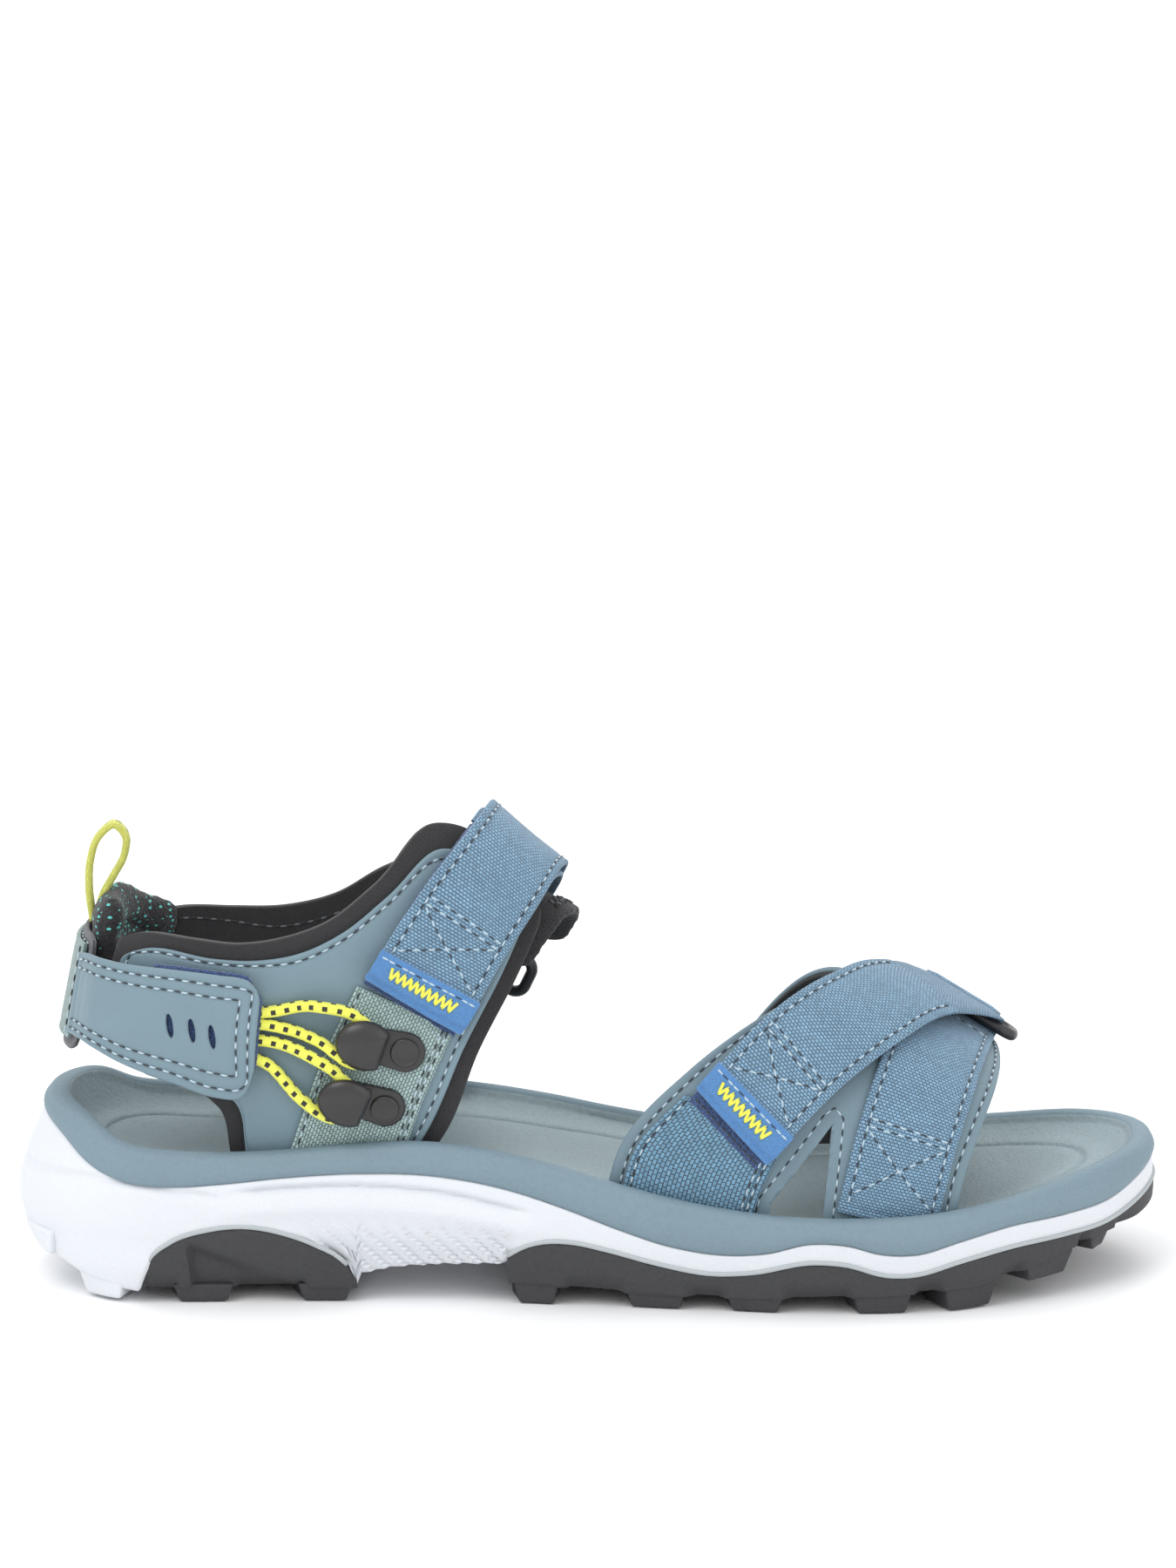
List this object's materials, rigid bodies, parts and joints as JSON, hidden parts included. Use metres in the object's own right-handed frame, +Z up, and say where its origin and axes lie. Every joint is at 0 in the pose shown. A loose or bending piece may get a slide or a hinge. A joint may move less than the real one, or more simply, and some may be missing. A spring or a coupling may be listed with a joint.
{
  "type": "sport sandal",
  "caption": "Right-foot strappy sport sandal: lugged rubber outsole, foam midsole, contoured footbed, hook-and-loop straps over ankle and forefoot, open heel strap, elastic cords on hooks.",
  "frame": {"origin": "centre of the sandal's outline, on the ground under the sole", "axes": "+X to the toe, +Y to the inner (medial) side, +Z up"},
  "size_m": [0.2895, 0.103, 0.1218],
  "materials": {
    "ankle_hook_patch": "woven",
    "ankle_loop_patch": "woven",
    "ankle_pull_tab": "smooth",
    "ankle_ring": "black",
    "ankle_ring_keeper": "woven",
    "ankle_strap": "woven",
    "ankle_strap_base": "woven",
    "bungee_loop_lower": "woven",
    "bungee_loop_upper": "woven",
    "footbed": "pebbled foam",
    "front_hook_patch": "woven",
    "front_loop_patch": "woven",
    "front_loop_webbing": "woven",
    "front_pull_tab": "smooth",
    "front_ring": "black",
    "front_ring_keeper": "woven",
    "front_strap": "woven",
    "front_strap_base": "woven",
    "heel_back_webbing": "woven",
    "heel_counter": "ribbed",
    "heel_hook_patch": "woven",
    "heel_link": "woven",
    "heel_loop_patch": "woven",
    "heel_pad": "woven",
    "heel_pull_loop": "woven",
    "heel_strap": "microfibre",
    "hook_rivets": "gloss black",
    "instep_pad": "woven",
    "lace_hook_lower": "gloss black",
    "lace_hook_upper": "gloss black",
    "lateral_quarter": "microfibre",
    "lateral_quarter_lining": "woven",
    "medial_quarter": "microfibre",
    "medial_quarter_lining": "woven",
    "midsole": "moulded foam",
    "outsole_forefoot": "moulded",
    "outsole_heel": "moulded",
    "pull_loop_stem": "woven",
    "quarter_webbing": "woven",
    "vamp_lateral": "microfibre",
    "vamp_lateral_lining": "woven",
    "vamp_medial": "microfibre",
    "vamp_medial_lining": "woven"
  },
  "bodies": {
    "sandal": {"ankle_loop_patch": "ankle_loop_patch", "ankle_ring": "ankle_ring", "ankle_ring_keeper": "ankle_ring_keeper", "ankle_strap_base": "ankle_strap_base", "bungee_loop_lower": "bungee_loop_lower", "bungee_loop_upper": "bungee_loop_upper", "footbed": "footbed", "front_loop_patch": "front_loop_patch", "front_loop_webbing": "front_loop_webbing", "front_ring": "front_ring", "front_ring_keeper": "front_ring_keeper", "front_strap_base": "front_strap_base", "heel_back_webbing": "heel_back_webbing", "heel_counter": "heel_counter", "heel_link": "heel_link", "heel_loop_patch": "heel_loop_patch", "heel_pad": "heel_pad", "hook_rivets": "hook_rivets", "instep_pad": "instep_pad", "lace_hook_lower": "lace_hook_lower", "lace_hook_upper": "lace_hook_upper", "lateral_quarter": "lateral_quarter", "lateral_quarter_lining": "lateral_quarter_lining", "medial_quarter": "medial_quarter", "medial_quarter_lining": "medial_quarter_lining", "midsole": "midsole", "outsole_forefoot": "outsole_forefoot", "outsole_heel": "outsole_heel", "pull_loop_stem": "pull_loop_stem", "quarter_webbing": "quarter_webbing", "vamp_lateral": "vamp_lateral", "vamp_lateral_lining": "vamp_lateral_lining", "vamp_medial": "vamp_medial", "vamp_medial_lining": "vamp_medial_lining"},
    "ankle_flap": {"ankle_strap": "ankle_strap", "ankle_hook_patch": "ankle_hook_patch", "ankle_pull_tab": "ankle_pull_tab"},
    "front_flap": {"front_strap": "front_strap", "front_hook_patch": "front_hook_patch", "front_pull_tab": "front_pull_tab"},
    "heel_flap": {"heel_strap": "heel_strap", "heel_hook_patch": "heel_hook_patch"},
    "pull_loop": {"heel_pull_loop": "heel_pull_loop"}
  },
  "joints": [
    {"name": "ankle_strap_hinge", "type": "hinge", "parent": "sandal", "child": "ankle_flap", "pos_m": [-0.0286, 0.02779, 0.07979], "axis": [-0.8865, 0.1508, 0.4374], "range_deg": [0, 75]},
    {"name": "front_strap_hinge", "type": "hinge", "parent": "sandal", "child": "front_flap", "pos_m": [0.08675, -0.00143, 0.07321], "axis": [-0.6452, 0.6862, 0.336], "range_deg": [0, 80]},
    {"name": "heel_strap_hinge", "type": "hinge", "parent": "sandal", "child": "heel_flap", "pos_m": [-0.12859, -0.01753, 0.07488], "axis": [-0.1852, 0.0066, -0.9827], "range_deg": [0, 100]},
    {"name": "pull_loop_swing", "type": "hinge", "parent": "sandal", "child": "pull_loop", "pos_m": [-0.1244, 0, 0.1], "axis": [0, 1, 0], "range_deg": [-35, 8]}
  ]
}
